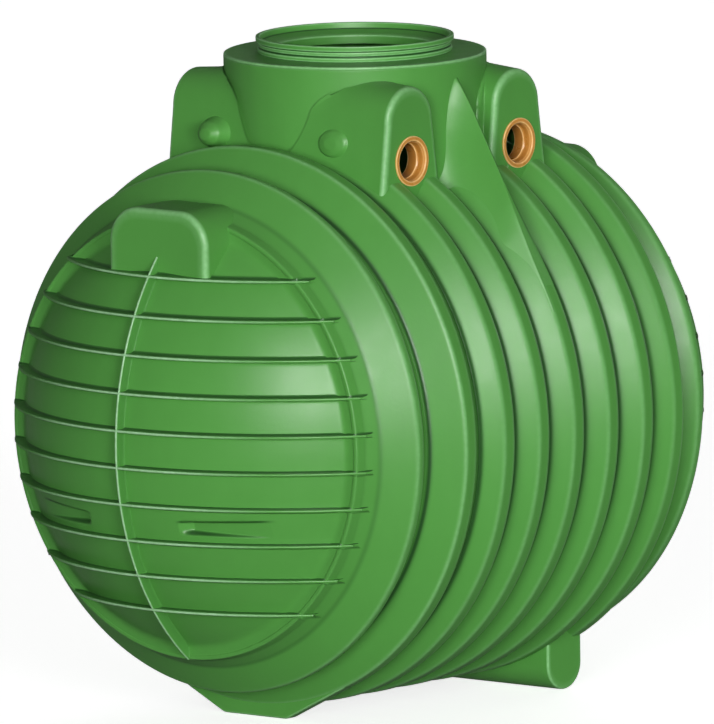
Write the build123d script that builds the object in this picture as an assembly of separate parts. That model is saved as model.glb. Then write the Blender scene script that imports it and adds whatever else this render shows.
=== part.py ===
from build123d import *
import os
from math import hypot, radians, sin, cos, sqrt, tan

# Underground rainwater tank, moulded in plastic. Sizes in mm.
# Origin on the floor under the neck, Z up. The tank lies along Y and its front dome faces -Y.

# Shell
WALL = 10.0
AXIS_HEIGHT = 868.0
RING_PITCH = 160.6
CREST_RADIUS = 844.0
END_CREST_RADIUS = 830.0
VALLEY_RADIUS = 794.0
CREST_WIDTH = 44.0
VALLEY_WIDTH = 14.0
BEND_RADIUS = 14.0

# Rim at each end, with the flat annulus that carries the dome
RIM_VALLEY_Y = 575.0
RIM_VALLEY_RADIUS = 735.0
RIM_CREST_RADIUS = 777.0
RIM_CREST_Y = 636.0
RIM_CREST_WIDTH = 24.0
RIM_FOOT_RADIUS = 690.0
RIM_FOOT_Y = 732.0
RIM_SIDE_RADIUS = 667.0
RIM_SIDE_Y = 774.0
FLANGE_Y = 806.0
FLANGE_RADIUS = 661.0
DOME_EDGE_RADIUS = 620.0

# Dome, its fins and the upright rib
DOME_RADIUS = 821.0
FIN_HEIGHT = 32.0
FIN_THICKNESS = 8.0
FIN_PITCH = 110.0
FIN_COUNT = 10
FIN_REACH = 680.0
RIB_BOTTOM = 656.0

# Blank pad for an inlet, high on each dome
PAD_HALF_WIDTH = 188.0
PAD_TOP = 690.0
PAD_BOTTOM = 400.0
PAD_FACE_Y = 920.0
PAD_BACK_Y = 690.0
PAD_CORNER = 105.0

# Grip pockets in the domes, deep at the end near the rib and running out to the side
GRIP_INNER_X = 176.0
GRIP_OUTER_X = 434.0
GRIP_TOP = 200.0
GRIP_HEIGHT = 45.0
GRIP_DEPTH = 32.0

# Neck, shoulder and collar
NECK_RADIUS = 390.0
SHOULDER_Z = 1062.0
SHOULDER_ROUND = 8.0
COLLAR_RADIUS = 295.0
COLLAR_TOP = 1110.0
BEAD_COUNT = 3
BEAD_DEPTH = 5.0
MOUTH_RADIUS = 272.0
SEAT_Z = 1086.0
BORE_RADIUS = 238.0

# Lugs at the sides of the neck, for the pipes
LUG_Y = 247.0
LUG_FACE_X = 409.0
LUG_ARCH_Z = 905.0
LUG_ARCH_RADIUS = 96.0
LUG_SIDE_DRAFT = 7.4
LUG_BACK_DRAFT = 4.6
LUG_BOTTOM_Z = 640.0
LUG_BACK_X = 200.0
KNOB_CENTRE = (226.0, 375.0, 842.0)
KNOB_HALF = (46.0, 60.0, 46.0)

# Pipe seals, for drain pipe of 110 mm
SEAL_Z = 790.0
SEAL_RADIUS = 75.0
SEAL_PROUD = 15.0
SEAL_SLEEVE_RADIUS = 66.0
SEAL_SLEEVE_LENGTH = 34.0
SEAL_MOUTH_RADIUS = 60.0
PIPE_RADIUS = 55.0

# Webs from the middle ring to the neck
WEB_WIDTH = 44.0
WEB_ANGLE = 29.5
WEB_CUT_ANGLE = 33.5
WEB_SLOT_LENGTH = 200.0

# Feet
FRONT_FOOT_Y = 482.0
FRONT_FOOT_HALF_BASE = 120.0
FRONT_FOOT_HALF_TOP = 345.0
FRONT_FOOT_TOP = 756.0
REAR_FOOT_Y = 426.0
REAR_FOOT_HALF_LENGTH = 424.0
REAR_FOOT_RADIUS = 78.0


def inset(points, depth):
    """Line of points (y, r) moved inward by depth, square to each of its straights."""
    moved = []
    for k, (y, r) in enumerate(points):
        ways = []
        if k > 0:
            ways.append((y - points[k - 1][0], r - points[k - 1][1]))
        if k < len(points) - 1:
            ways.append((points[k + 1][0] - y, points[k + 1][1] - r))
        normals = [(w[1] / hypot(*w), -w[0] / hypot(*w)) for w in ways]
        n = (sum(v[0] for v in normals), sum(v[1] for v in normals))
        size = hypot(*n)
        n = (n[0] / size, n[1] / size)
        stretch = depth / (n[0] * normals[0][0] + n[1] * normals[0][1])
        moved.append((y + n[0] * stretch, r + n[1] * stretch))
    return moved


def on_axis(points):
    """Points (y, r) as sketch points, with the tank axis as the Y axis."""
    return [(r, y) for y, r in points]


def wall_ring(points, depth=WALL, bend=BEND_RADIUS):
    """Wall of revolution about the tank axis under a bent line of points (y, r)."""
    outer = FilletPolyline(*on_axis(points), radius=bend)
    inner = FilletPolyline(*on_axis(inset(points, depth)), radius=bend)
    ends = [Line(outer @ 0, inner @ 0), Line(outer @ 1, inner @ 1)]
    return raised(revolve(make_face([outer, inner] + ends), Axis.Y))


def full_round(points, bend=BEND_RADIUS):
    """Solid of revolution about the tank axis under a bent line of points (y, r)."""
    line = FilletPolyline(*on_axis(points), radius=bend)
    first, last = points[0], points[-1]
    closing = Polyline((first[1], first[0]), (0, first[0]), (0, last[0]), (last[1], last[0]))
    return raised(revolve(make_face([line, closing]), Axis.Y))


def raised(shape):
    """The shape at the height of the tank, its seam turned to the underside."""
    return Pos(0, 0, AXIS_HEIGHT) * Rot(0, 90, 0) * shape


def ring_points(index):
    """Line of ring 1 to 4, from valley to valley. Ring 4 is the middle one."""
    centre = -RING_PITCH * (4 - index)
    crest = END_CREST_RADIUS if index == 1 else CREST_RADIUS
    half = RING_PITCH / 2
    if index == 1:
        start = [
            (-RIM_VALLEY_Y, RIM_VALLEY_RADIUS),
            (-RIM_VALLEY_Y + VALLEY_WIDTH, RIM_VALLEY_RADIUS),
        ]
    else:
        start = [
            (centre - half, VALLEY_RADIUS),
            (centre - half + VALLEY_WIDTH / 2, VALLEY_RADIUS),
        ]
    middle = [(centre - CREST_WIDTH / 2, crest), (centre + CREST_WIDTH / 2, crest)]
    end = [
        (centre + half - VALLEY_WIDTH / 2, VALLEY_RADIUS),
        (centre + half, VALLEY_RADIUS),
    ]
    return start + middle + end


def rim_points():
    """Line of the front rim, from its valley to the edge of the dome."""
    rise = RIM_CREST_RADIUS - RIM_VALLEY_RADIUS
    return [
        (-FLANGE_Y, DOME_EDGE_RADIUS),
        (-FLANGE_Y, FLANGE_RADIUS),
        (-RIM_SIDE_Y, RIM_SIDE_RADIUS),
        (-RIM_FOOT_Y, RIM_FOOT_RADIUS),
        (-RIM_CREST_Y - RIM_CREST_WIDTH, RIM_CREST_RADIUS),
        (-RIM_CREST_Y, RIM_CREST_RADIUS),
        (-RIM_CREST_Y + rise, RIM_VALLEY_RADIUS),
        (-RIM_VALLEY_Y, RIM_VALLEY_RADIUS),
    ]


def dome_centre_y():
    return -FLANGE_Y + sqrt(DOME_RADIUS ** 2 - DOME_EDGE_RADIUS ** 2)


def dome_ball(radius):
    return Pos(0, dome_centre_y(), AXIS_HEIGHT) * Sphere(radius)


def along_y(radius, y_from, y_to):
    """Solid cylinder about the tank axis."""
    length = y_to - y_from
    return Pos(0, (y_from + y_to) / 2, AXIS_HEIGHT) * Rot(90, 0, 0) * Cylinder(radius, length)


def tank_line():
    """Line of the whole tank, front flange to rear flange."""
    line = rim_points()
    for index in (1, 2, 3):
        line = line[:-1] + ring_points(index)[1:]
    line = line[:-1] + ring_points(4)[1:-1]
    mirrored = [(-y, r) for y, r in reversed(line)]
    rings_left = [p for p in line if p[0] < 0]
    rings_right = [p for p in mirrored if p[0] > 0]
    return rings_left + rings_right


def upright(radius, z_from, z_to):
    """Solid cylinder about the neck. Heights are from the tank axis."""
    return Pos(0, 0, AXIS_HEIGHT + (z_from + z_to) / 2) * Cylinder(radius, z_to - z_from)


def arch_face(x, half, top_radius, bottom_z, drop=0.0):
    """Outline of a lug in the plane x: a round top on sides that lean out."""
    lean = radians(LUG_SIDE_DRAFT)
    top_z = LUG_ARCH_Z - drop
    spread = half + (top_z - bottom_z) * tan(lean)
    plane = Plane(origin=(x, LUG_Y, AXIS_HEIGHT), x_dir=(0, 1, 0), z_dir=(1, 0, 0))
    arc = ThreePointArc((half, top_z), (0, top_z + top_radius), (-half, top_z))
    sides = Polyline((-half, top_z), (-spread, bottom_z), (spread, bottom_z), (half, top_z))
    return plane * make_face([arc, sides])


def lug_block(shrink=0.0):
    """Block of the rear right lug, or its hollow when shrink is the wall."""
    grow = (LUG_FACE_X - LUG_BACK_X) * tan(radians(LUG_BACK_DRAFT))
    near = LUG_ARCH_RADIUS - shrink
    front = arch_face(LUG_FACE_X - shrink, near, near, LUG_BOTTOM_Z - shrink)
    back = arch_face(LUG_BACK_X, near + grow, near + grow, LUG_BOTTOM_Z - shrink)
    return loft([back, front], ruled=True)


def four_ways(shape):
    """The shape of the rear right corner, at all four corners."""
    right = [shape, mirror(shape, about=Plane.XZ)]
    return right + [mirror(s, about=Plane.YZ) for s in right]


def pad_block(shrink=0.0):
    """Block of the inlet pad, or its hollow when shrink is the wall."""
    half = PAD_HALF_WIDTH - shrink
    top = PAD_TOP - shrink
    face_y = PAD_FACE_Y - shrink
    plane = Plane(origin=(0, -PAD_BACK_Y, AXIS_HEIGHT), x_dir=(1, 0, 0), z_dir=(0, -1, 0))
    height = top - PAD_BOTTOM
    outline = Pos(0, (top + PAD_BOTTOM) / 2) * Rectangle(2 * half, height)
    corners = outline.vertices().group_by(Axis.Y)[-1]
    outline = fillet(corners, PAD_CORNER - shrink)
    return extrude(plane * outline, face_y - PAD_BACK_Y)


def collar():
    """Beaded collar that takes the shaft of the cover, turned about the neck."""
    bead = (COLLAR_TOP - SHOULDER_Z) / BEAD_COUNT
    root = COLLAR_RADIUS - BEAD_DEPTH
    edges = []
    for k in range(BEAD_COUNT):
        low = SHOULDER_Z + k * bead
        mid = (COLLAR_RADIUS, low + bead / 2)
        edges.append(ThreePointArc((root, low), mid, (root, low + bead)))
    lip = (root + MOUTH_RADIUS) / 2
    edges.append(Line((root, COLLAR_TOP), (MOUTH_RADIUS, COLLAR_TOP)))
    edges.append(Polyline(
        (MOUTH_RADIUS, COLLAR_TOP),
        (MOUTH_RADIUS, SEAT_Z),
        (BORE_RADIUS, SEAT_Z),
        (BORE_RADIUS, SHOULDER_Z - WALL),
        (BORE_RADIUS + WALL, SHOULDER_Z - WALL),
        (BORE_RADIUS + WALL, SHOULDER_Z),
        (root, SHOULDER_Z),
    ))
    face = Plane.XZ * make_face(edges)
    return Pos(0, 0, AXIS_HEIGHT) * revolve(face, Axis.Z)


def shoulder():
    """Flat top of the neck with a rounded edge and the hole for the collar."""
    disc = upright(NECK_RADIUS, SHOULDER_Z - WALL, SHOULDER_Z)
    rim = disc.edges().group_by(Axis.Z)[-1]
    return fillet(rim, SHOULDER_ROUND) - upright(BORE_RADIUS + WALL, SHOULDER_Z - WALL, SHOULDER_Z)


def pipe_seal():
    """Stepped sealing ring of the rear right lug, turned about the pipe."""
    face_x = LUG_FACE_X
    out = face_x + SEAL_PROUD
    deep = face_x - SEAL_SLEEVE_LENGTH
    step = face_x + SEAL_PROUD / 3
    outline = Polyline(
        (face_x, SEAL_SLEEVE_RADIUS),
        (face_x, SEAL_RADIUS),
        (out - 4, SEAL_RADIUS),
        (out, SEAL_RADIUS - 4),
        (out, SEAL_MOUTH_RADIUS + 3),
        (out - 3, SEAL_MOUTH_RADIUS),
        (step, SEAL_MOUTH_RADIUS),
        (step - 5, PIPE_RADIUS),
        (deep, PIPE_RADIUS),
        (deep, SEAL_SLEEVE_RADIUS),
        close=True,
    )
    ring = revolve(make_face(outline), Axis.X)
    return Pos(0, LUG_Y, AXIS_HEIGHT + SEAL_Z) * ring


def knob():
    """Rounded knob on the outer side of the rear right lug."""
    x, y, z = KNOB_CENTRE
    return Pos(x, y, AXIS_HEIGHT + z) * scale(Sphere(1), by=KNOB_HALF)


def web_prism(depth, width):
    """Web of the right side: between the middle ring's tangent and the neck."""
    radius = CREST_RADIUS - depth
    a = radians(WEB_ANGLE)
    b = radians(WEB_CUT_ANGLE)
    reach = radius / cos(b - a)
    low = (reach * cos(b), reach * sin(b))
    rise = (low[0] - NECK_RADIUS + 60) / tan(a)
    high = (NECK_RADIUS - 60, low[1] + rise)
    inner = (CREST_RADIUS - 120) * cos(b), (CREST_RADIUS - 120) * sin(b)
    corner = (NECK_RADIUS - 60, inner[1])
    plane = Plane(origin=(0, width / 2, AXIS_HEIGHT), x_dir=(1, 0, 0), z_dir=(0, -1, 0))
    outline = Polyline(low, high, corner, inner, close=True)
    return extrude(plane * make_face(outline), width)


def front_foot_block():
    """Keel under the first ring, flat at the floor."""
    half_base, half_top = FRONT_FOOT_HALF_BASE, FRONT_FOOT_HALF_TOP
    outline = Polyline(
        (-half_base, -AXIS_HEIGHT),
        (half_base, -AXIS_HEIGHT),
        (half_top, -FRONT_FOOT_TOP),
        (half_top - 60, -FRONT_FOOT_TOP + 60),
        (-half_top + 60, -FRONT_FOOT_TOP + 60),
        (-half_top, -FRONT_FOOT_TOP),
        close=True,
    )
    plane = Plane(
        origin=(0, -FRONT_FOOT_Y + CREST_WIDTH / 2, AXIS_HEIGHT), x_dir=(1, 0, 0), z_dir=(0, -1, 0)
    )
    return extrude(plane * make_face(outline), CREST_WIDTH)


def rear_foot_block():
    """Bar across the tank with a round underside and flat ends."""
    radius = REAR_FOOT_RADIUS
    centre_z = -AXIS_HEIGHT + radius
    top = centre_z + 2.4 * radius
    plane = Plane(
        origin=(-REAR_FOOT_HALF_LENGTH, REAR_FOOT_Y, AXIS_HEIGHT), x_dir=(0, 1, 0), z_dir=(1, 0, 0)
    )
    arc = ThreePointArc((-radius, centre_z), (0, -AXIS_HEIGHT), (radius, centre_z))
    sides = Polyline((radius, centre_z), (radius, top), (-radius, top), (-radius, centre_z))
    return extrude(plane * make_face([arc, sides]), 2 * REAR_FOOT_HALF_LENGTH)


def front_fins(body, pad):
    """Level fins and one upright rib on the front dome, trimmed by one ball."""
    envelope = dome_ball(DOME_RADIUS + FIN_HEIGHT) & along_y(FIN_REACH, -1400, -RIM_FOOT_Y)
    depth = 400
    centre_y = -RIM_FOOT_Y - depth / 2
    plates = []
    for k in range(FIN_COUNT):
        z = (k - (FIN_COUNT - 1) / 2) * FIN_PITCH
        plate = Box(2 * FIN_REACH, depth, FIN_THICKNESS)
        plates.append(Pos(0, centre_y, AXIS_HEIGHT + z) * plate)
    height = RIB_BOTTOM + PAD_TOP - PAD_CORNER
    rib = Box(FIN_THICKNESS, depth, height)
    plates.append(Pos(0, centre_y, AXIS_HEIGHT - RIB_BOTTOM + height / 2) * rib)
    comb = plates[0]
    for plate in plates[1:]:
        comb = comb + plate
    return (comb & envelope) - body - pad


def grip_block(wall=0.0):
    """Space of the front right grip pocket, or its tray when wall is given."""
    top = -GRIP_TOP + wall
    middle = -GRIP_TOP - GRIP_HEIGHT / 2

    def dome_y(x):
        return dome_centre_y() - sqrt(DOME_RADIUS ** 2 - x ** 2 - middle ** 2)

    inner = (GRIP_INNER_X - wall, dome_y(GRIP_INNER_X) + GRIP_DEPTH + wall)
    outer = (GRIP_OUTER_X + wall, dome_y(GRIP_OUTER_X) + wall)
    plane = Plane(origin=(0, 0, AXIS_HEIGHT + top), x_dir=(1, 0, 0), z_dir=(0, 0, -1))
    front = -1400
    corners = [inner, outer, (outer[0], front), (inner[0], front)]
    outline = Polyline(*[(x, -y) for x, y in corners], close=True)
    return extrude(plane * make_face(outline), GRIP_HEIGHT + 2 * wall)


os.makedirs("parts", exist_ok=True)


def save(name, shape):
    solids = shape.solids()
    if len(solids) == 1:
        shape = solids[0]
    else:
        shape = Compound(children=solids)
    export_step(shape, "parts/" + name + ".step")
    box = shape.bounding_box()
    print(name, len(solids), round(shape.volume / 1e6, 2), box.min, box.max)


def mirrored(shape):
    return mirror(shape, about=Plane.XZ)


line = tank_line()
outside = full_round(line)
inside = full_round(inset(line, WALL))
dome_outer = dome_ball(DOME_RADIUS)
dome_inner = dome_ball(DOME_RADIUS - WALL)
hollow = inside + (dome_inner & along_y(DOME_EDGE_RADIUS, -1400, -FLANGE_Y + 60))
end_body = outside + dome_outer

neck_block = upright(NECK_RADIUS, 300, SHOULDER_Z)
neck_bore = upright(NECK_RADIUS - WALL, 300, SHOULDER_Z)
lug_outer = lug_block()
lug_inner = lug_block(WALL)
pad_outer = pad_block()
pad_inner = pad_block(WALL)

# Dome and what sits on it
dome = (dome_outer - dome_inner) & along_y(DOME_EDGE_RADIUS, -1400, -FLANGE_Y + 60)
dome = dome - pad_outer
grips = [grip_block(), mirror(grip_block(), about=Plane.YZ)]
for grip in grips:
    dome = dome - grip
save("front_dome", dome)
save("rear_dome", mirrored(dome))
fins = front_fins(end_body, pad_outer)
save("front_fins", fins)
save("rear_fins", mirrored(fins))
rim = wall_ring(rim_points()) - pad_outer
save("front_rim", rim)
save("rear_rim", mirrored(rim))
pad = pad_outer - pad_inner - hollow
save("front_inlet_pad", pad)
save("rear_inlet_pad", mirrored(pad))
grip = (grip_block(WALL) - grip_block()) & dome_inner
for side, shape in (("right", grip), ("left", mirror(grip, about=Plane.YZ))):
    save("front_grip_" + side, shape)
    save("rear_grip_" + side, mirrored(shape))

# Rings, cut where the neck, lugs and webs stand
cutters = [neck_block] + four_ways(lug_outer)
slot = Box(WEB_SLOT_LENGTH, WEB_WIDTH - 2 * WALL, 500)
slot_x = NECK_RADIUS - 3 * WALL + WEB_SLOT_LENGTH / 2
slots = [Pos(side * slot_x, 0, AXIS_HEIGHT + 500) * slot for side in (1, -1)]
for index in (1, 2, 3, 4):
    ring = wall_ring(ring_points(index))
    if index > 1:
        for cutter in cutters:
            ring = ring - cutter
    if index == 4:
        for cutter in slots:
            ring = ring - cutter
    save("ring_" + str(index), ring)
    if index < 4:
        save("ring_" + str(8 - index), mirrored(ring))

# Neck
neck_wall = neck_block - neck_bore - upright(NECK_RADIUS + 1, SHOULDER_Z - WALL, SHOULDER_Z + 1)
neck_wall = neck_wall - hollow
for shape in four_ways(lug_inner):
    neck_wall = neck_wall - shape
save("neck_wall", neck_wall)
save("neck_shoulder", shoulder())
save("neck_collar", collar())

# Lugs with their knobs and seals
hole = Pos(LUG_FACE_X, LUG_Y, AXIS_HEIGHT + SEAL_Z) * Rot(0, 90, 0)
hole = hole * Cylinder(SEAL_SLEEVE_RADIUS, 4 * WALL)
lug = lug_outer - lug_inner - neck_block - hollow - hole
button = knob() - lug_outer - neck_block - outside
names = ("rear_right", "front_right", "rear_left", "front_left")
for name, shape in zip(names, four_ways(lug)):
    save("lug_" + name, shape)
for name, shape in zip(names, four_ways(button)):
    save("knob_" + name, shape)
for name, shape in zip(names, four_ways(pipe_seal() - outside)):
    save("pipe_seal_" + name, shape)

# Webs
web = web_prism(0, WEB_WIDTH) - web_prism(WALL, WEB_WIDTH - 2 * WALL) - outside
web = web - upright(NECK_RADIUS, 300, SHOULDER_Z + 100)
save("neck_web_right", web)
save("neck_web_left", mirror(web, about=Plane.YZ))

# Feet
save("front_foot", front_foot_block() - outside)
save("rear_foot", rear_foot_block() - outside)
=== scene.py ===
import math

import bpy
import numpy as np
from mathutils import Matrix, Vector


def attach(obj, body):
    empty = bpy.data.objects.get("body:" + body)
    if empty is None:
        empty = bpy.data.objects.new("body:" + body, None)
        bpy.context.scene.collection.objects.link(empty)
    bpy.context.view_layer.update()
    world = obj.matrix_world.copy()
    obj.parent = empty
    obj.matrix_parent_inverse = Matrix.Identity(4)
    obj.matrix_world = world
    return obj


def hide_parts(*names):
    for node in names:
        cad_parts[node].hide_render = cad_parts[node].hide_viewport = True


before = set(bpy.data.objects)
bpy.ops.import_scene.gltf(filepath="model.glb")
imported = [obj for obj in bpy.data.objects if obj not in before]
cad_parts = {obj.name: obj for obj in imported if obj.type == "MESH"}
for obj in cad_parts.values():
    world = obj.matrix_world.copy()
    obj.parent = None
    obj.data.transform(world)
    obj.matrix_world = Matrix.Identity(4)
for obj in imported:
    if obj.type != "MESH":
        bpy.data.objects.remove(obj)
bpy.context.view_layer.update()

# Ribbed shell: seven full rings and a lower rim at each end, moulded in green polyethylene
# in one piece with the rest. The wall is 10 mm and every bend of the mould is rounded.

AXIS = 0.868      # height of the tank's axis over the floor
WALL = 0.010
END_Y = -0.806    # the flat annulus at the front end
CREST = 0.8438    # radius on top of a ring
VALLEY = 0.794    # radius between the rings
LUG_Y = 0.247     # the lugs' middle planes are this far from the tank's middle


def bent_line(points, step, softness):
    """A line of straights with rounded bends: the polyline is sampled every step metres and
    averaged along its length with a bell of that softness, its two ends kept in place."""
    points = np.array(points, float)
    runs = np.hypot(*np.diff(points, axis=0).T)
    along = np.concatenate([[0], np.cumsum(runs)])
    count = int(along[-1] / step) + 1
    at = np.linspace(0, along[-1], count)
    line = np.stack([np.interp(at, along, points[:, k]) for k in (0, 1)], axis=1)
    reach = int(3 * softness / step) + 1
    bell = np.exp(-0.5 * (np.arange(-reach, reach + 1) * step / softness) ** 2)
    bell /= bell.sum()
    first = 2 * line[0] - line[1:reach + 1][::-1]
    last = 2 * line[-1] - line[-reach - 1:-1][::-1]
    padded = np.concatenate([first, line, last])
    return np.stack([np.convolve(padded[:, k], bell, "valid") for k in (0, 1)], axis=1)


def bend_of(line):
    """Signed bend at each point of a line: the turn of its direction over 6 mm or so. Above
    zero where the line bulges to its left, which is outwards on the tank."""
    way = np.gradient(line, axis=0)
    angle = np.unwrap(np.arctan2(way[:, 1], way[:, 0]))
    length = np.maximum(np.hypot(way[:, 0], way[:, 1]), 1e-6)
    return -np.gradient(angle) / length


def surface(name, grid, closed=False, drop=None, wall=0.0, edge=None, painted_shade=None):
    """A sheet of four-sided faces over a grid of points (rows, columns, xyz). closed joins the
    last column to the first, drop is a mask of faces left out, wall thickens the sheet inwards,
    and the last two are the material's masks of painted highlight and painted shade at each grid point."""
    rows, columns = grid.shape[:2]
    index = np.arange(rows * columns).reshape(rows, columns)
    if closed:
        index = np.concatenate([index, index[:, :1]], axis=1)
    faces = np.stack([index[:-1, :-1], index[:-1, 1:], index[1:, 1:], index[1:, :-1]], axis=-1)
    faces = faces.reshape(-1, 4)
    points = grid.reshape(-1, 3)
    if drop is not None:
        faces = faces[~drop(points[faces].mean(axis=1))]
    mesh = bpy.data.meshes.new(name)
    mesh.from_pydata(points.tolist(), [], faces.tolist())
    for title, values in (("edge", edge), ("painted_shade", painted_shade)):
        layer = mesh.attributes.new(title, "FLOAT", "POINT")
        values = np.zeros(len(points)) if values is None else np.broadcast_to(values, grid.shape[:2])
        layer.data.foreach_set("value", np.ascontiguousarray(values, dtype=np.float32).ravel())
    mesh.polygons.foreach_set("use_smooth", np.ones(len(mesh.polygons), bool))
    piece = bpy.data.objects.new(name, mesh)
    bpy.context.collection.objects.link(piece)
    weld = piece.modifiers.new("weld", "WELD")
    weld.merge_threshold = 1e-5
    if wall:
        skin = piece.modifiers.new("wall", "SOLIDIFY")
        skin.thickness = wall
        skin.offset = -1.0
    return piece


def finish_piece(piece, material, *nodes):
    """Paints the piece, hides the CAD nodes it stands for, and lets it ride on the tank."""
    piece.data.materials.append(material)
    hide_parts(*nodes)
    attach(piece, "root")


def turned(line, steps, axis="Y"):
    """Surface of revolution: each point (along, radius) of the line carried round the axis.
    Round Y it sweeps from +X over the top, and round Z from +X towards +Y."""
    angle = np.linspace(0, 2 * np.pi, steps, endpoint=False)
    along = line[:, 0][:, None] + 0 * angle
    side = line[:, 1][:, None] * np.cos(angle)
    rise = line[:, 1][:, None] * np.sin(angle)
    if axis == "Y":
        return np.stack([side, along, AXIS + rise], axis=-1)
    return np.stack([side, rise, along], axis=-1)


def plastic_group():
    """Green moulded plastic: slow colour drift, faint flow streaks, a little dust on what faces up,
    painted highlights on rounded edges, painted shade in creases, and the mould's fine grain as a normal."""
    group = bpy.data.node_groups.new("moulded plastic", "ShaderNodeTree")
    for title, kind in (("Colour", "NodeSocketColor"), ("Painted Highlight Colour", "NodeSocketColor"),
                        ("Painted Shade Colour", "NodeSocketColor"), ("Drift", "NodeSocketFloat"),
                        ("Dust", "NodeSocketFloat"), ("Grain", "NodeSocketFloat"),
                        ("Gloss", "NodeSocketFloat")):
        group.interface.new_socket(title, in_out="INPUT", socket_type=kind)
    for title, kind in (("Colour", "NodeSocketColor"), ("Roughness", "NodeSocketFloat"),
                        ("Normal", "NodeSocketVector")):
        group.interface.new_socket(title, in_out="OUTPUT", socket_type=kind)
    add, link = group.nodes.new, group.links.new
    given, out = add("NodeGroupInput"), add("NodeGroupOutput")
    place = add("ShaderNodeTexCoord")

    def noise(scale, detail, stretch=(1, 1, 1)):
        mapping = add("ShaderNodeMapping")
        mapping.inputs["Scale"].default_value = stretch
        link(place.outputs["Object"], mapping.inputs["Vector"])
        field = add("ShaderNodeTexNoise")
        field.inputs["Scale"].default_value = scale
        field.inputs["Detail"].default_value = detail
        link(mapping.outputs["Vector"], field.inputs["Vector"])
        return field.outputs["Fac"]

    def math_node(kind, a, b, clamp=False):
        node = add("ShaderNodeMath")
        node.operation = kind
        node.use_clamp = clamp
        for socket, value in zip(node.inputs, (a, b)):
            if isinstance(value, (int, float)):
                socket.default_value = value
            else:
                link(value, socket)
        return node.outputs[0]

    def mix(amount, a, b):
        node = add("ShaderNodeMix")
        node.data_type = "RGBA"
        for name, value in (("Factor_Float", amount), ("A_Color", a), ("B_Color", b)):
            socket = next(s for s in node.inputs if s.identifier == name)
            if isinstance(value, (int, float, tuple)):
                socket.default_value = value
            else:
                link(value, socket)
        return next(s for s in node.outputs if s.identifier == "Result_Color")

    def layer(title):
        node = add("ShaderNodeAttribute")
        node.attribute_name = title
        return node.outputs["Fac"]

    slow = math_node("SUBTRACT", noise(2.1, 3), 0.5)
    cloud = math_node("SUBTRACT", noise(17, 4), 0.5)
    streak = math_node("SUBTRACT", noise(26, 2, (1, 1, 0.08)), 0.5)
    drift = math_node("ADD", slow, math_node("MULTIPLY", cloud, 0.5))
    drift = math_node("ADD", drift, math_node("MULTIPLY", streak, 0.35))
    drift = math_node("MULTIPLY", drift, given.outputs["Drift"])
    bright = math_node("ADD", drift, 1.0)
    scale = add("ShaderNodeVectorMath")
    scale.operation = "SCALE"
    link(given.outputs["Colour"], scale.inputs[0])
    link(bright, scale.inputs["Scale"])
    colour = scale.outputs[0]
    # Painted shade where one mask asks for it, then a painted highlight on rounded edges, broken up by noise.
    colour = mix(layer("painted_shade"), colour, given.outputs["Painted Shade Colour"])
    painted_highlight = math_node("MULTIPLY", layer("edge"), math_node("ADD", noise(60, 3), 0.35), True)
    colour = mix(painted_highlight, colour, given.outputs["Painted Highlight Colour"])
    facing = add("ShaderNodeNewGeometry")
    split = add("ShaderNodeSeparateXYZ")
    link(facing.outputs["Normal"], split.inputs[0])
    up = math_node("MULTIPLY", math_node("SUBTRACT", split.outputs["Z"], 0.35), 1.4, True)
    dust = math_node("MULTIPLY", math_node("MULTIPLY", up, noise(9, 5)), given.outputs["Dust"], True)
    colour = mix(dust, colour, (0.42, 0.50, 0.36, 1))
    link(colour, out.inputs["Colour"])
    rough = math_node("ADD", given.outputs["Gloss"], math_node("MULTIPLY", cloud, 0.14))
    link(math_node("ADD", rough, math_node("MULTIPLY", dust, 0.3)), out.inputs["Roughness"])
    bump = add("ShaderNodeBump")
    bump.inputs["Distance"].default_value = 0.0006
    grain = math_node("ADD", noise(900, 2), math_node("MULTIPLY", noise(70, 3), 1.6))
    link(grain, bump.inputs["Height"])
    link(given.outputs["Grain"], bump.inputs["Strength"])
    link(bump.outputs["Normal"], out.inputs["Normal"])
    return group


PLASTIC = plastic_group()


def plastic(name, colour, edge, painted_shade, drift=0.12, dust=0.04, grain=0.30, gloss=0.40):
    """A Principled plastic that takes its colour, roughness and normal from the group."""
    material = bpy.data.materials.new(name)
    material.use_nodes = True
    nodes, links = material.node_tree.nodes, material.node_tree.links
    shader = nodes["Principled BSDF"]
    shader.inputs["Specular IOR Level"].default_value = 0.45
    group = nodes.new("ShaderNodeGroup")
    group.node_tree = PLASTIC
    # The second and third colours are a painted highlight for rounded edges and painted shade for creases.
    for title, value in (("Colour", colour), ("Painted Highlight Colour", edge), ("Painted Shade Colour", painted_shade)):
        group.inputs[title].default_value = (*value, 1)
    for title, value in (("Drift", drift), ("Dust", dust), ("Grain", grain), ("Gloss", gloss)):
        group.inputs[title].default_value = value
    links.new(group.outputs["Colour"], shader.inputs["Base Color"])
    links.new(group.outputs["Roughness"], shader.inputs["Roughness"])
    links.new(group.outputs["Normal"], shader.inputs["Normal"])
    return material


GREEN = (0.085, 0.310, 0.056)
# Colours of the painted highlight on rounded edges and of the painted shade in creases and hollows.
PAINTED_HIGHLIGHT_GREEN = (0.24, 0.54, 0.22)
PAINTED_SHADE_GREEN = (0.018, 0.085, 0.016)
shell_green = plastic("shell green", GREEN, PAINTED_HIGHLIGHT_GREEN, PAINTED_SHADE_GREEN)

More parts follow.
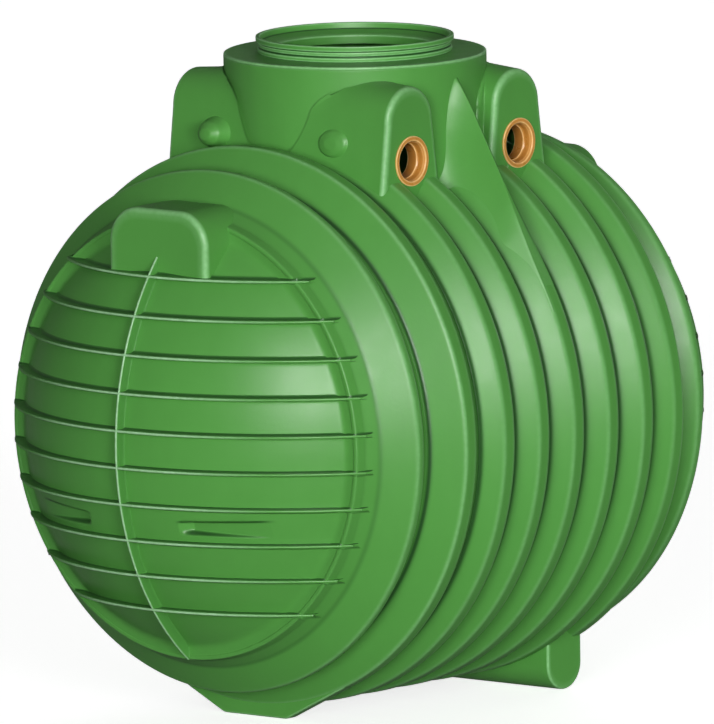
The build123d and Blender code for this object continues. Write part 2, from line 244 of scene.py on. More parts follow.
# (y, radius) of the front half in metres, from the flat annulus to the middle ring
shell_points = [(END_Y, 0.648), (END_Y, 0.661), (-0.774, 0.667), (-0.732, 0.690), (-0.660, 0.777),
                (-0.636, 0.777), (-0.594, 0.735), (-0.561, 0.735), (-0.504, 0.830), (-0.460, 0.830)]
for crest in (-0.3212, -0.1606):
    shell_points += [(crest - 0.0873, VALLEY), (crest - 0.0733, VALLEY), (crest - 0.022, CREST),
                     (crest + 0.022, CREST)]
shell_points += [(-0.0873, VALLEY), (-0.0733, VALLEY), (-0.022, CREST), (0.0, CREST)]
shell_points = np.array(shell_points)
mirrored = shell_points[::-1][1:] * (-1, 1)
shell_points = np.concatenate([shell_points, mirrored])
soft_line = bent_line(shell_points, 0.003, 0.0060)
sharp_line = bent_line(shell_points, 0.003, 0.0028)
at_end = np.clip((np.abs(soft_line[:, 0]) - 0.755) / 0.02, 0, 1)[:, None]
shell_line = soft_line + (sharp_line - soft_line) * at_end
shell_bend = bend_of(shell_line)
# Painted highlight on the shell's outward bends and painted shade in its inward bends, both weaker at the
# ends.
shell_painted_highlight = np.clip(shell_bend / 70 - 0.1, 0, 1) * (0.60 - 0.55 * at_end[:, 0])
shell_painted_shade = np.clip(-shell_bend / 60 - 0.05, 0, 1) * (1 - 0.8 * at_end[:, 0])


def under_neck(centres):
    """Faces of the shell that lie inside the neck or inside a lug's hollow."""
    x, y, z = centres.T
    high = z > AXIS + 0.3
    in_lug = (np.abs(x) < 0.402) & (np.abs(np.abs(y) - LUG_Y) < 0.094 + (1.773 - z) * 0.13)
    return high & ((np.hypot(x, y) < 0.386) | in_lug)


valleys = [-0.575, -0.4015, -0.2409, -0.0803, 0.0803, 0.2409, 0.4015, 0.575]
cuts = [0] + [int(np.argmin(np.abs(shell_line[:, 0] - v) + (shell_line[:, 1] < 0.72))) for v in valleys]
cuts.append(len(shell_line) - 1)
names = ["front_rim"] + ["ring_%d" % k for k in range(1, 8)] + ["rear_rim"]
for name, low, high in zip(names, cuts[:-1], cuts[1:]):
    part = slice(low, high + 1)
    grid = turned(shell_line[part], 256)[::-1]
    masks = [np.broadcast_to(m[part][::-1, None], grid.shape[:2]) for m in (shell_painted_highlight, shell_painted_shade)]
    ring = surface("shell_" + name, grid, True, under_neck, WALL, *masks)
    finish_piece(ring, shell_green, name)

# Domes: a shallow ball cap at each end, carried by the flat annulus of the rim. Moulded in one
# with the shell.

DOME_BALL = 0.821
DOME_EDGE = 0.620
DOME_Y = END_Y + math.sqrt(DOME_BALL ** 2 - DOME_EDGE ** 2)
dome_green = plastic("dome green", GREEN, PAINTED_HIGHLIGHT_GREEN, PAINTED_SHADE_GREEN, gloss=0.38)


def mirror_end(grid):
    """The same grid at the other end of the tank, its rows reversed so that it faces out."""
    return (grid * (1, -1, 1))[::-1]


def on_dome(across, level):
    """y of the front dome: a ball of 821 mm whose rim is 806 mm in front of the middle."""
    return DOME_Y - np.sqrt(np.maximum(DOME_BALL ** 2 - across ** 2 - level ** 2, 0))


def in_pocket(centres):
    """Faces of a dome that the grip pockets' own finer sheets stand in for."""
    x, y, z = centres.T
    return (np.abs(np.abs(x) - 0.305) < 0.160) & (np.abs(z - AXIS + 0.2200) < 0.045)


radius = np.linspace(DOME_EDGE, 0.0, 110)
cap_line = np.stack([on_dome(radius, 0), radius], axis=1)
cap_line = np.concatenate([[(END_Y + 0.0005, 0.652), (END_Y, 0.648)], cap_line])
cap_line = bent_line(cap_line, 0.006, 0.010)
cap_line[-1, 1] = 0.0
cap = turned(cap_line, 256)
for end, grid in (("front", cap), ("rear", mirror_end(cap))):
    dome = surface(end + "_dome_cap", grid, True, in_pocket, WALL)
    dome.modifiers["wall"].use_rim = False
    finish_piece(dome, dome_green, end + "_dome")

# Grip pockets: two shallow hand pockets low on each dome, moulded in. Each is deepest near the
# middle of the tank, where the hand hooks in, and runs out towards the side.


def pocket(right_side):
    """The dome with a pocket pressed in, as a grid over x and level. Its depth falls in a
    straight line from 32 mm at 176 mm from the middle to nothing at 434 mm, times a soft ramp at
    its deep end, a soft upper lip and a longer ramp at its lower ledge. The sheet's border lies
    a hair inside the dome, under the fins above and below."""
    across = np.linspace(0.122, 0.488, 184)[None, :]
    level = np.linspace(-0.275, -0.165, 60)[:, None]
    fall = np.clip((0.434 - across) / (0.434 - 0.176), 0, 1)
    top = -0.210 + 0.010 * (across - 0.176) / 0.258
    sides = np.clip((across - 0.168) / 0.036, 0, 1)
    sides = sides ** 2 * (3 - 2 * sides)
    lip = 0.5 - 0.5 * np.tanh((level - top) / 0.0025)
    ledge = np.clip((level + 0.252) / (0.005 + 0.016 * fall), 0, 1)
    ledge = ledge ** 2 * (3 - 2 * ledge)
    depth = 0.032 * fall * sides * lip * ledge
    y = on_dome(across, level) + depth + 0.0002
    x = np.broadcast_to(across, y.shape)
    grid = np.stack([x, y, np.broadcast_to(AXIS + level, y.shape)], axis=-1)
    # Painted shade: a dark line along the upper lip, and a dark wedge on the lower ledge that is thickest at
    # the deep end.
    hook = np.clip((across - 0.160) / 0.02, 0, 1) * np.clip((0.450 - across) / 0.04, 0, 1)
    shade = np.exp(-((level - top) / 0.0035) ** 2) * hook
    shade = np.maximum(shade, ledge * (1 - ledge) * 5 * np.sqrt(fall) * sides * lip)
    grid = grid[::-1] if right_side else grid * (-1, 1, 1)
    return grid, np.clip(shade[::-1] if right_side else shade, 0, 1)


for side, name in ((True, "right"), (False, "left")):
    grid, shade = pocket(side)
    for end, sheet, mask in (("front", grid, shade), ("rear", mirror_end(grid), shade[::-1])):
        piece = surface(end + "_grip_pocket_" + name, sheet[::-1], False, None, 0.0, None, mask[::-1])
        finish_piece(piece, dome_green, end + "_grip_" + name)

# Fins: ten level plates and one upright rib stiffen each dome. They are moulded with it, 8 mm
# thick with a rounded tip and a flared root, and all end on one larger ball.

FIN_REACH = 0.680
FIN_BALL = 0.8528
# The fins' pale colour is a painted highlight for their tips.
fin_green = plastic("fin green", GREEN, (0.44, 0.72, 0.44), PAINTED_SHADE_GREEN, drift=0.10, gloss=0.36)


def end_height(across, level):
    """y of what carries the fins at the front: the dome, the flat annulus, and past its edge
    the side that flares out to the rim."""
    side_r = np.linspace(0.661, 0.690, 30)
    side_y = np.interp(side_r, [0.661, 0.667, 0.690], [END_Y, -0.774, -0.732])
    flat = np.hypot(across, level)
    outer = np.where(flat < side_r[0], END_Y, np.interp(flat, side_r, side_y))
    return np.where(flat < DOME_EDGE, on_dome(flat, 0), outer)


def fin(place, start, stop, upright=False):
    """A fin as a grid: one parameter runs along it, the other round its section, from the root
    flare on one side over the half-round tip to the other flare. place is the height of a level
    fin, or x of the upright rib. The tip lies on one ball of 853 mm about the dome's centre."""
    share = np.linspace(-1, 1, 241)
    along = ((start + stop) / 2 + (stop - start) / 2 * np.sin(share * np.pi / 2))[:, None]
    half = 0.004
    turn = np.linspace(np.pi, 0, 9)
    offset = np.concatenate([[-0.011, -0.0065, -0.0046], half * np.cos(turn), [0.0046, 0.0065, 0.011]])
    side = np.abs(offset) > half + 1e-6
    lift = np.array([-0.003, 0.002, 0.007] + [0] * 9 + [0.007, 0.002, -0.003])
    tip = np.concatenate([[0] * 3, half * np.sin(turn), [0] * 3])
    across = np.broadcast_to(along, (len(along), len(offset)))
    base = end_height(across, place)
    ball = DOME_Y - np.sqrt(FIN_BALL ** 2 - across ** 2 - place ** 2)
    top = np.minimum(ball + half, base + 0.002)
    y = np.where(side, np.maximum(base - lift, top), top - tip)
    level = place + np.broadcast_to(offset, across.shape)
    point = (level, y, AXIS + across) if upright else (across, y, AXIS + level)
    # Painted highlight along the tip, fading towards the ends of a level fin; painted shade at the root on
    # one side and along the other, darkest on a level fin's upper side.
    fade = 1.0 if upright else np.clip((0.46 - np.abs(along)) / 0.26, 0, 1)
    edge = fade * np.concatenate([[0] * 4, [0.3, 0.7, 0.8, 0.8, 0.8, 0.7, 0.3], [0] * 4])
    above = 0.3 if upright else 0.95
    painted_shade = np.concatenate([[0.4, 0.4, 0.2], [0] * 8, [0.5 * above, above, above, 0.5 * above]])
    painted_shade = np.broadcast_to(painted_shade, across.shape)
    grid = np.stack(point, axis=-1)
    return (grid if upright else grid[::-1]), edge, painted_shade


def joined(name, parts):
    """Several grids as one object: their sheets are built and then joined into the first."""
    sheets = [surface(name + "_%02d" % k, *part) for k, part in enumerate(parts)]
    for sheet in sheets[1:]:
        sheet.modifiers.clear()
    with bpy.context.temp_override(active_object=sheets[0], selected_editable_objects=sheets):
        bpy.ops.object.join()
    sheets[0].name = name
    return sheets[0]


blades = []
for k in range(10):
    level = (k - 4.5) * 0.110
    reach = math.sqrt(FIN_REACH ** 2 - level ** 2)
    blades.append(fin(level, -reach, reach))
blades.append(fin(0.0, -0.662, 0.5495, True))
for end in ("front", "rear"):
    grids = blades if end == "front" else [(mirror_end(g), e[::-1], c[::-1]) for g, e, c in blades]
    piece = joined(end + "_fin_set", [(g, False, None, 0.0, e, c) for g, e, c in grids])
    finish_piece(piece, fin_green, end + "_fins")

# Inlet pads: a blank arched pad stands out of each dome near its top, flush with the rim, where
# an inlet can be cut. Hollow, with a rounded front edge.


def arch(half, top_radius, top, bottom, lean=0.0, steps=96):
    """Outline (a, b) of an arch from its lower left round to its lower right: leaning sides,
    then round corners of top_radius with a flat between them if they are narrower."""
    flat = half - top_radius
    turn = np.linspace(np.pi, np.pi / 2, steps // 3)
    left = np.stack([-flat + top_radius * np.cos(turn), top - top_radius + top_radius * np.sin(turn)], axis=1)
    right = left[::-1] * (-1, 1)
    drop = top - top_radius - bottom
    rise = np.linspace(0, 1, steps // 3, endpoint=False)[:, None]
    foot = np.array([[-half - drop * math.tan(lean), bottom]])
    side = foot + rise * (left[0] - foot)
    return np.concatenate([side, left, right[1:] if flat < 1e-9 else right, side[::-1] * (-1, 1)])


def boss(outline, centre, hole, face, back, edge_round, draft, wall_rows=14):
    """A moulded boss as a grid (along the outline, over the form): from the hole or the middle
    of its face out to the edge, round the edge, and back down its drafted side. Gives (a, b,
    height), and the mask of a painted highlight on its rounded edge."""
    way = np.gradient(outline, axis=0)
    normal = np.stack([-way[:, 1], way[:, 0]], axis=1)
    normal /= np.hypot(*normal.T)[:, None]
    inner = outline - normal * edge_round
    spoke = inner - centre
    rim = centre + spoke / np.hypot(*spoke.T)[:, None] * hole
    shares = np.linspace(0, 1, 12)[:, None, None]
    flat = rim + (inner - rim) * shares
    turn = np.linspace(0, np.pi / 2, 10)[1:, None, None]
    bend = inner + normal * edge_round * np.sin(turn)
    drop = np.linspace(0, 1, wall_rows)[1:, None, None]
    run = face - edge_round - back
    wall = outline + normal * run * math.tan(draft) * drop
    height = np.concatenate([
        np.full(12, face),
        face - edge_round * (1 - np.cos(turn[:, 0, 0])),
        face - edge_round - run * drop[:, 0, 0],
    ])
    form = np.concatenate([flat, bend, wall])
    edge = np.concatenate([np.zeros(11), [0.3], np.sin(2 * turn[:, 0, 0]) * 0.9, np.zeros(wall_rows - 1)])
    shape = form.shape[:2]
    heights = np.broadcast_to(height[:, None], shape)
    return form[..., 0], form[..., 1], heights, np.broadcast_to(edge[:, None], shape)


pad_green = plastic("pad green", GREEN, PAINTED_HIGHLIGHT_GREEN, PAINTED_SHADE_GREEN, drift=0.10, gloss=0.40)
a, b, height, edge = boss(arch(0.188, 0.105, 0.690, 0.4955), (0, 0.4955), 0.0, 0.920, 0.700, 0.020, 0.0)
pad = np.stack([a, -height, AXIS + b], axis=-1)
for end, grid, mask in (("front", pad, edge), ("rear", mirror_end(pad), edge[::-1])):
    piece = surface(end + "_inlet_pad_block", grid, False, None, WALL, mask)
    finish_piece(piece, pad_green, end + "_inlet_pad")

# Neck: a plain round wall that rises out of the middle of the tank to a flat shoulder with a
# rounded edge, one moulding with the shell.

neck_green = plastic("neck green", GREEN, PAINTED_HIGHLIGHT_GREEN, PAINTED_SHADE_GREEN, drift=0.14)
NECK = 0.390
SHOULDER = AXIS + 1.062


def inside_lug(centres):
    """Faces of the neck's wall that open into the lugs."""
    x, y, z = centres.T
    return (np.abs(np.abs(y) - LUG_Y) < 0.080) & (z < AXIS + 0.97) & (np.abs(x) > 0.1)


def inside_tank(centres):
    """Faces of the neck's wall that would hang down inside the tank."""
    x, y, z = centres.T
    bore = 0.785 - 0.02 * (np.abs(y) > 0.3)
    return np.hypot(x, z - AXIS) < bore


wall_line = bent_line([(AXIS + 0.66, NECK), (SHOULDER, NECK), (SHOULDER, 0.330)], 0.003, 0.004)
# Painted highlight on the rounded edge where the wall turns into the shoulder.
wall_painted_highlight = np.clip(bend_of(wall_line) / 70, 0, 1)
top = int(np.argmax(wall_line[:, 0] > SHOULDER - 0.010))
grid = turned(wall_line[:top + 1], 256, "Z")
neck = surface("neck_wall_round", grid, True, lambda c: inside_lug(c) | inside_tank(c), WALL,
               np.broadcast_to(wall_painted_highlight[:top + 1, None], grid.shape[:2]))
finish_piece(neck, neck_green, "neck_wall")
flat = [[SHOULDER, r] for r in np.linspace(0.328, 0.249, 12)]
grid = turned(np.concatenate([wall_line[top:], flat]), 256, "Z")
mask = np.concatenate([wall_painted_highlight[top:], np.zeros(len(flat))])[:, None]
shoulder = surface("neck_shoulder_top", grid, True, None, WALL, np.broadcast_to(mask, grid.shape[:2]))
finish_piece(shoulder, neck_green, "neck_shoulder")

# Collar: a beaded ring on the shoulder, open in the middle, with a ledge inside on which the
# cover's shaft stands.

collar_points = [(0.0001, 0.2835), (0.0015, 0.2885), (0.0120, 0.2885), (0.0145, 0.2830), (0.0175, 0.2830),
                 (0.0195, 0.2865), (0.0280, 0.2865), (0.0310, 0.2835), (0.0335, 0.2940), (0.0480, 0.2940),
                 (0.0480, 0.2820), (0.0300, 0.2760), (0.0180, 0.2440), (0.0140, 0.2380), (-0.010, 0.2380)]
collar_points = np.array(collar_points) + (SHOULDER, 0)
collar_line = bent_line(collar_points, 0.001, 0.0016)
# Painted highlight on the beads' outward bends and painted shade in the inward bends.
collar_painted_highlight = np.clip(bend_of(collar_line) / 160, 0, 1)
collar_painted_shade = np.clip(-bend_of(collar_line) / 160, 0, 1)
grid = turned(collar_line, 256, "Z")
collar = surface("neck_collar_ring", grid, True, None, 0.0,
                 *[np.broadcast_to(m[:, None], grid.shape[:2]) for m in (collar_painted_highlight, collar_painted_shade)])
finish_piece(collar, neck_green, "neck_collar")

# Lugs: four hollow arches on the sides of the neck carry the pipes. Each has a flat face, a
# round top, leaning sides and a hole for the pipe's seal.

CORNERS = (("rear_right", 1, 1), ("front_right", 1, -1), ("rear_left", -1, 1), ("front_left", -1, -1))
LUG_FACE = 0.409
LUG_ROUND = 0.008
LUG_LEAN = math.radians(7.4)
LUG_DRAFT = math.radians(4.6)
SEAL_LEVEL = 0.790
lug_outline = arch(0.096, 0.096, 1.001, 0.640, LUG_LEAN)
foot_line = np.linspace(lug_outline[-1], lug_outline[0], 24)[1:-1]
lug_outline = np.concatenate([lug_outline, foot_line])
a, b, height, edge = boss(lug_outline, (0, SEAL_LEVEL), 0.062, LUG_FACE, 0.400, LUG_ROUND, LUG_DRAFT, 2)
way = np.gradient(lug_outline, axis=0)
away = np.stack([-way[:, 1], way[:, 0]], axis=1) / np.hypot(*way.T)[:, None]


def lug_side():
    """Rows of a lug's side wall from its face to the neck, as x, a and b. A row has one distance
    from the neck's axis: even steps down to 22 mm off the wall, then 22 mm times q squared with q
    in even steps to 0. x and y follow from it and the draft."""
    far = np.hypot(0.400, LUG_Y + lug_outline[:, 0])
    outer = far + (0.412 - far) * np.linspace(0, 1, 14)[1:, None]
    inner = NECK - 0.0001 + 0.0221 * np.linspace(1, 0, 34)[1:, None] ** 2 + 0 * far
    from_axis = np.concatenate([outer, inner])
    spread = math.tan(LUG_DRAFT)
    x = 0 * from_axis + 0.3    # first guess, made exact by the rounds below
    for _ in range(8):
        y = LUG_Y + lug_outline[:, 0] + away[:, 0] * spread * (LUG_FACE - LUG_ROUND - x)
        x = np.sqrt(np.maximum(from_axis ** 2 - y ** 2, 0.02 ** 2))
    return x, y - LUG_Y, lug_outline[:, 1] + away[:, 1] * spread * (LUG_FACE - LUG_ROUND - x)


x_side, a_side, b_side = lug_side()
height, a, b = (np.concatenate(pair) for pair in ((height, x_side), (a, a_side), (b, b_side)))
edge = np.concatenate([edge, 0 * x_side])


def neck_fillet(x, y, normal_y, normal_z):
    """Where a lug's wall nears the neck it bends over onto it: a point whose distance from the
    neck is d moves along the neck's surface, away from the lug, by reach (1 - sqrt(d / near))^2,
    a parabola that touches both walls. The reach is shorter on top."""
    from_axis = np.hypot(x, y)
    tangent = np.stack([-y, x], axis=-1) / from_axis[..., None]
    sideways = normal_y * tangent[..., 1]
    length = np.hypot(sideways, normal_z)
    near = 0.022
    share = np.clip((from_axis - NECK) / near, 0, 1)
    reach = 0.045 - 0.043 * np.clip(1.25 * normal_z, 0, 1)
    move = reach * (1 - np.sqrt(share)) ** 2
    moved = np.stack([x, y], axis=-1) + (move * sideways * length)[..., None] * tangent
    moved *= (from_axis / np.hypot(moved[..., 0], moved[..., 1]))[..., None]
    return moved, move * normal_z


moved, lift = neck_fillet(height, LUG_Y + a, away[:, 0], away[:, 1])
lug = np.stack([moved[..., 0], moved[..., 1], AXIS + b + lift], axis=-1)
for title, sx, sy in CORNERS:
    grid, mask = lug * (sx, sy, 1), edge
    if sx * sy > 0:
        grid, mask = grid[::-1], mask[::-1]
    piece = surface("lug_block_" + title, grid, True, None, WALL, mask)
    piece.modifiers["wall"].use_rim = False
    finish_piece(piece, neck_green, "lug_" + title)

# Knobs: a rounded boss on the outer side of each lug, moulded with it.

knob_line = bent_line([(0.0, 0.066), (0.020, 0.064), (0.041, 0.047), (0.051, 0.022), (0.060, 0.003),
                       (0.078, -0.004)], 0.001, 0.004)
knob_line[0, 0] = 0.0
round_about = np.linspace(0, 2 * np.pi, 72, endpoint=False)
spread, swell = knob_line.T[:, :, None]
KNOB_X, KNOB_LEVEL = 0.226, 0.842
across = KNOB_X + 1.08 * spread * np.cos(round_about)
level = KNOB_LEVEL + 0.84 * spread * np.sin(round_about)
lug_wall = 0.3646 + (KNOB_LEVEL - level) * math.tan(LUG_LEAN) + (KNOB_X - across) * math.tan(LUG_DRAFT)
knob = np.stack([across, lug_wall + swell, AXIS + level], axis=-1)
flat_knob = np.stack([across, lug_wall + 0.42 * swell, AXIS + level], axis=-1)
for title, sx, sy in CORNERS:
    grid = (knob if sx * sy > 0 else flat_knob) * (sx, sy, 1)
    piece = surface("knob_round_" + title, grid[::-1] if sx * sy < 0 else grid, True)
    finish_piece(piece, neck_green, "knob_" + title)

# Webs: the middle ring leaves its circle and runs straight up to the neck on each side, and its
# flanks melt into the neck.


def risen_ring(half_crest, half_foot):
    """The middle ring past the point where it leaves its circle. Its crest follows the tangent at
    29.5 degrees up to the neck and narrows to a ridge 6 mm wide, with a line of painted shade
    along its rear edge. From the crest a flank falls on each side to a foot line, which runs along
    the valley and then, by a smooth blend, up the neck. Down the flank a point moves evenly away
    from the middle, and sinks by 1 - (1 - share)^power, so that a flank on the neck flares out at
    its foot. Gives the grid, the painted highlight mask and the painted shade mask."""
    lean = math.radians(29.5)
    valley = VALLEY - 0.012
    theta = np.radians(np.linspace(24.0, 69.5, 130))[:, None]
    crest = CREST / np.cos(np.maximum(theta - lean, 0)) - 0.0008 * (theta < lean)
    crest_x, crest_z = crest * np.cos(theta), crest * np.sin(theta)
    crest_x = crest_x - 0.010 * np.clip((crest_z - 0.90) / 0.12, 0, 1) ** 2
    rise = crest - CREST
    narrow = np.clip(rise / 0.09, 0, 1)
    half_crest = half_crest + (0.003 - half_crest) * narrow * (2 - narrow)
    up_neck = np.clip((crest_z - 0.56) / 0.30, 0, 1)
    up_neck = up_neck ** 2 * (3 - 2 * up_neck)
    neck_foot = np.minimum(half_crest + 1.9 * (crest_x - 0.380), 0.130)
    foot_y = (1 - up_neck) * (half_foot + 0.25 * rise) + up_neck * neck_foot
    neck_x = np.sqrt((0.386 - 0.15 * up_neck * (1 - up_neck)) ** 2 - neck_foot ** 2)
    foot_x = (1 - up_neck) * valley * np.cos(theta) + up_neck * neck_x
    foot_z = (1 - up_neck) * valley * np.sin(theta) + up_neck * (crest_z + 0.01)
    across = np.linspace(-1, 1, 141)[None, :]
    fall = np.clip((np.abs(across) - 0.16) / 0.84, 0, 1)
    soft = 0.05 + 0.10 * np.minimum(rise / 0.1, 1)
    fall = np.sqrt(fall ** 2 + soft ** 2) - soft
    fall = fall / (np.sqrt(1 + soft ** 2) - soft)
    flat = np.minimum(np.abs(across) / 0.16, 1)
    power = 1.0 + 2.8 * up_neck
    inward = 1 - (1 - fall) ** power
    y = half_crest * flat + (foot_y - half_crest) * fall
    x = crest_x + (foot_x - crest_x) * inward
    z = crest_z + (foot_z - crest_z) * inward
    grid = np.stack([x, np.sign(across) * y, AXIS + z], axis=-1)
    edge = np.exp(-((fall - 0.03) / 0.05) ** 2) * 0.25 * np.clip(1 - rise / 0.05, 0, 1)
    painted_shade = np.exp(-((across - 0.14) / 0.07) ** 2) * 0.8 * np.clip(rise / 0.02, 0, 1)
    return grid, edge, painted_shade


def web_in_neck(centres):
    """Faces of a web that would stand inside the neck."""
    x, y, z = centres.T
    return np.hypot(x, y) < 0.378


grid, edge, painted_shade = risen_ring(0.022, 0.0745)
plates = (("right", grid, edge, painted_shade), ("left", (grid * (-1, 1, 1))[::-1], edge[::-1], painted_shade[::-1]))
for side, sheet, pale, dark in plates:
    piece = surface("neck_web_plate_" + side, sheet, False, web_in_neck, 0.0, pale, dark)
    finish_piece(piece, neck_green, "neck_web_" + side)

# Feet: a keel under the first ring, flat at the floor, and a round-bottomed bar across the tank
# near the other end. Both moulded with the shell.


def rounded_strip(path, inward, width, depth, soft, steps=9):
    """A plate with a rounded back along a path: at each path point the section goes from depth
    inside, up one side, round the corner, across the back, and down the other side. path and
    inward are (points, xz). Gives the grid (path, section) of (x, y, z) and its painted highlight mask."""
    turn = np.linspace(0, np.pi / 2, steps)
    half = width / 2 - soft
    y = np.concatenate([[-width / 2], -half - soft * np.cos(turn), half + soft * np.sin(turn), [width / 2]])
    sink = np.concatenate([[depth], soft - soft * np.sin(turn), soft - soft * np.cos(turn), [depth]])
    edge = np.concatenate([[0], np.sin(2 * turn), np.sin(2 * turn), [0]]) * 0.8
    spot = path[:, None, :] + inward[:, None, :] * sink[None, :, None]
    grid = np.stack([spot[..., 0], np.broadcast_to(y, spot.shape[:2]), AXIS + spot[..., 1]], axis=-1)
    return grid, np.broadcast_to(edge, spot.shape[:2])


foot_green = plastic("foot green", GREEN, PAINTED_HIGHLIGHT_GREEN, PAINTED_SHADE_GREEN, drift=0.14, dust=0.05)
keel = bent_line([(-0.345, -0.756), (-0.120, -AXIS), (0.120, -AXIS), (0.345, -0.756)], 0.004, 0.006)
keel[:, 1] = np.maximum(keel[:, 1], -AXIS)
grid, edge = rounded_strip(keel, np.tile((0.0, 1.0), (len(keel), 1)), 0.044, 0.075, 0.007)
keel_piece = surface("front_foot_keel", grid - (0, 0.482, 0), False, None, 0.0, edge)
finish_piece(keel_piece, foot_green, "front_foot")
bar_outline = arch(0.078, 0.078, AXIS, 0.690) * (1, -1)
a, b, height, edge = boss(bar_outline[::-1], (0, -0.690), 0.0, 0.424, 0.0, 0.008, 0.0)
bar = np.stack([height, 0.426 + a, AXIS + b], axis=-1)
halves = [(bar, False, None, 0.0, edge), ((bar * (-1, 1, 1))[::-1], False, None, 0.0, edge[::-1])]
bar_piece = joined("rear_foot_bar", halves)
finish_piece(bar_piece, foot_green, "rear_foot")

# Pipe seals: orange rubber rings pushed into the lugs' faces, stepped inside where they grip a
# drain pipe.

seal_line = bent_line([(0.3600, 0.0605), (LUG_FACE, 0.0605), (LUG_FACE, 0.0745), (0.4240, 0.0745),
                       (0.4240, 0.0610), (0.4165, 0.0575), (0.3980, 0.0565), (0.3950, 0.0525),
                       (0.3600, 0.0520), (0.3600, 0.0605)], 0.0010, 0.0015)
# Painted highlight on the seal's outward bends, and painted shade that deepens down its bore.
seal_painted_highlight = np.clip(bend_of(seal_line) / 220, 0, 1)
seal_painted_shade = np.clip((0.4175 - seal_line[:, 0]) / 0.075, 0, 0.85) * (seal_line[:, 1] < 0.0585)
# After the orange come the colour of the painted highlight and the colour of the painted shade.
orange = plastic("seal orange", (0.60, 0.255, 0.046), (0.92, 0.60, 0.26), (0.10, 0.036, 0.008),
                 drift=0.20, dust=0.0, grain=0.22, gloss=0.28)
angle = np.linspace(0, 2 * np.pi, 120, endpoint=False)
ring = np.stack([
    seal_line[:, 0][:, None] + 0 * angle,
    LUG_Y + seal_line[:, 1][:, None] * np.cos(angle),
    AXIS + SEAL_LEVEL + seal_line[:, 1][:, None] * np.sin(angle),
], axis=-1)
masks = [np.broadcast_to(m[:, None], ring.shape[:2]) for m in (seal_painted_highlight, seal_painted_shade)]
for title, sx, sy in CORNERS:
    grid, layers = ring * (sx, sy, 1), masks
    if sx * sy < 0:
        grid, layers = grid[::-1], [m[::-1] for m in masks]
    piece = surface("pipe_seal_ring_" + title, grid, True, None, 0.0, *layers)
    finish_piece(piece, orange, "pipe_seal_" + title)

# Studio: a white floor with a soft shadow, far lamps that give the photograph's even green and
# its highlights, and a far camera, because the photograph is close to a parallel view.


def studio_floor():
    """Pale matt floor: a camera or a reflection sees it white with the tank's soft shadow on it,
    and it throws less light back up at the tank than white paper would."""
    material = bpy.data.materials.new("studio floor")
    material.use_nodes = True
    nodes, links = material.node_tree.nodes, material.node_tree.links
    shader = nodes["Principled BSDF"]
    shader.inputs["Roughness"].default_value = 0.9
    shader.inputs["Specular IOR Level"].default_value = 0.0
    path = nodes.new("ShaderNodeLightPath")
    seen = nodes.new("ShaderNodeMath")
    seen.operation = "MAXIMUM"
    dim = nodes.new("ShaderNodeMath")
    dim.operation = "MULTIPLY"
    dim.inputs[1].default_value = 0.10
    links.new(path.outputs["Is Glossy Ray"], dim.inputs[0])
    links.new(path.outputs["Is Camera Ray"], seen.inputs[0])
    links.new(dim.outputs[0], seen.inputs[1])
    for title, hidden, shown in (("Base Color", 0.10, 0.80), ("Emission Strength", 0.0, 0.76)):
        level = nodes.new("ShaderNodeMapRange")
        level.inputs["To Min"].default_value = hidden
        level.inputs["To Max"].default_value = shown
        links.new(seen.outputs[0], level.inputs["Value"])
        links.new(level.outputs["Result"], shader.inputs[title])
    shader.inputs["Emission Color"].default_value = (1, 1, 1, 1)
    return material


bpy.ops.mesh.primitive_plane_add(size=400, location=(0, 0, 0))
floor = bpy.context.object
floor.name = "studio_floor"
floor.data.materials.append(studio_floor())

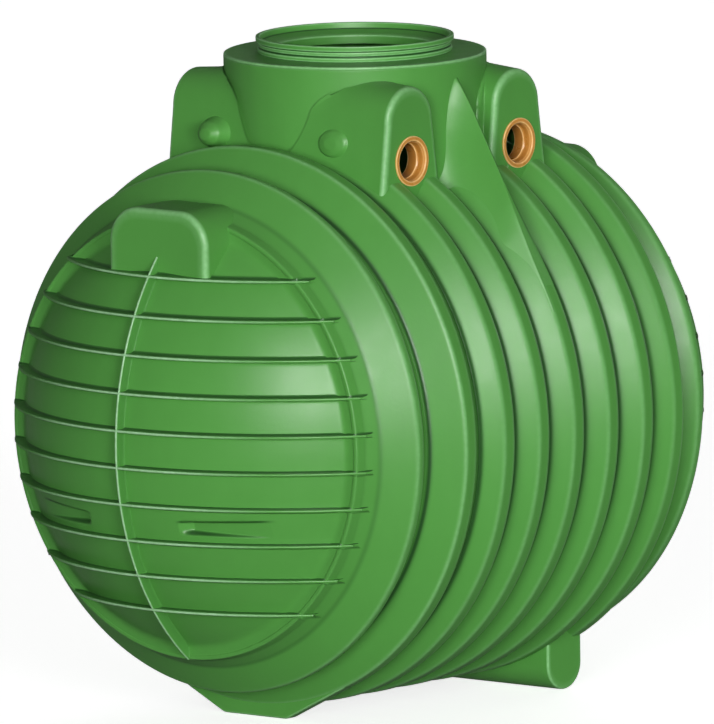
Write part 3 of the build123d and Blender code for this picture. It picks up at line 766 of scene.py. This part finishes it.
world = bpy.data.worlds.new("studio")
world.use_nodes = True
bpy.context.scene.world = world
nodes, links = world.node_tree.nodes, world.node_tree.links
nodes["Background"].inputs["Color"].default_value = (1, 1, 1, 1)
nodes["Background"].inputs["Strength"].default_value = 0.07
bright = nodes.new("ShaderNodeBackground")
bright.inputs["Strength"].default_value = 1.0
path = nodes.new("ShaderNodeLightPath")
share = nodes.new("ShaderNodeMixShader")
links.new(path.outputs["Is Camera Ray"], share.inputs[0])
links.new(nodes["Background"].outputs[0], share.inputs[1])
links.new(bright.outputs[0], share.inputs[2])
links.new(share.outputs[0], nodes["World Output"].inputs["Surface"])


def sun(name, azimuth, height, strength, spread, body=True, shine=True):
    """Far soft light from an azimuth (degrees from the front, towards +X) and a height above
    the level, spread over that many degrees. body and shine say whether it lights the surfaces
    and whether it is mirrored in them."""
    light = bpy.data.lights.new(name, "SUN")
    light.energy = strength
    light.angle = math.radians(spread)
    holder = bpy.data.objects.new(name, light)
    bpy.context.collection.objects.link(holder)
    holder.visible_diffuse = body
    holder.visible_glossy = shine
    turn, rise = math.radians(azimuth), math.radians(height)
    source = Vector((math.sin(turn) * math.cos(rise), -math.cos(turn) * math.cos(rise), math.sin(rise)))
    holder.matrix_world = source.to_track_quat("Z", "Y").to_matrix().to_4x4()


sun("left key", 28, 7, 1.85, 20, shine=False)
sun("right key", 60, 7, 1.90, 20, shine=False)
sun("shine", 44, 21, 3.0, 24, body=False)
sun("low shine", 44, -4, 0.5, 10, body=False)
sun("back fill", 205, 10, 2.0, 40, shine=False)

# The photograph's right and up, solved from the edges of the rings: azimuth 40 degrees,
# elevation 8 degrees and a roll of 0.8 degrees. The lens gives 0.3371 pixels a millimetre.
right = Vector((0.7674, 0.6410, -0.0139))
up = Vector((-0.0786, 0.1155, 0.9902))
back = right.cross(up).normalized()
right.normalize()
up = back.cross(right)
target = right * -0.00841 + up * 0.12868 + Vector((0, 0, AXIS))
spot = target + back * 88.0
camera = bpy.data.objects.new("camera", bpy.data.cameras.new("camera"))
camera.data.lens = 1475.1
camera.data.sensor_width = 36
camera.data.sensor_fit = "VERTICAL"
camera.data.sensor_height = 36
camera.data.clip_end = 600
bpy.context.collection.objects.link(camera)
rows = [(right[k], up[k], back[k], spot[k]) for k in range(3)] + [(0, 0, 0, 1)]
camera.matrix_world = Matrix(rows)
bpy.context.scene.camera = camera
bpy.context.scene.view_settings.view_transform = "Standard"
